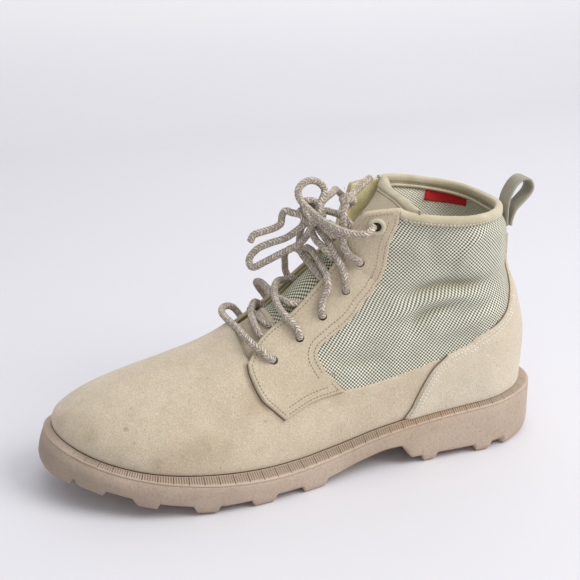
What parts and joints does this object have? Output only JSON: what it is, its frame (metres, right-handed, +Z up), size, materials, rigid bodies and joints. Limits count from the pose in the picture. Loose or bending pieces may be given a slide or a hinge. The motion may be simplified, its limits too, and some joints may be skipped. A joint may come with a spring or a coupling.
{
  "type": "chukka boot",
  "caption": "Left ankle-high chukka boot in suede and mesh with a lugged rubber sole, laced front, padded collar and heel pull loop.",
  "frame": {"origin": "middle of the boot's box, without the free lace, on the plane the lugs stand on", "axes": "-Y towards the toe, +Y towards the heel, +X to the outer side of the foot, +Z up"},
  "size_m": [0.1095, 0.3037, 0.1709],
  "materials": {
    "suede": "brushed suede, matte",
    "counter_suede": "brushed suede, matte",
    "rubber": "matte moulded rubber",
    "mesh_cloth": "woven open mesh",
    "binding_cloth": "napped padded binding",
    "insole_felt": "pressed felt",
    "lace_cord": "braided cord",
    "eyelet_metal": "painted, satin",
    "loop_webbing": "ribbed webbing"
  },
  "bodies": {
    "root": {"outsole": "rubber", "insole": "insole_felt", "upper": "suede", "tongue": "mesh_cloth", "facing_outer": "suede", "facing_inner": "suede", "heel_counter": "counter_suede", "collar_binding": "binding_cloth", "eyelet_outer": "eyelet_metal", "eyelet_inner": "eyelet_metal", "lace_bar": "lace_cord", "lace_crossing_1": "lace_cord", "lace_crossing_2": "lace_cord", "lace_crossing_3": "lace_cord", "lace_crossing_4": "lace_cord", "lace_bow_outer": "lace_cord", "lace_bow_inner": "lace_cord", "pull_loop": "loop_webbing"}
  },
  "joints": []
}
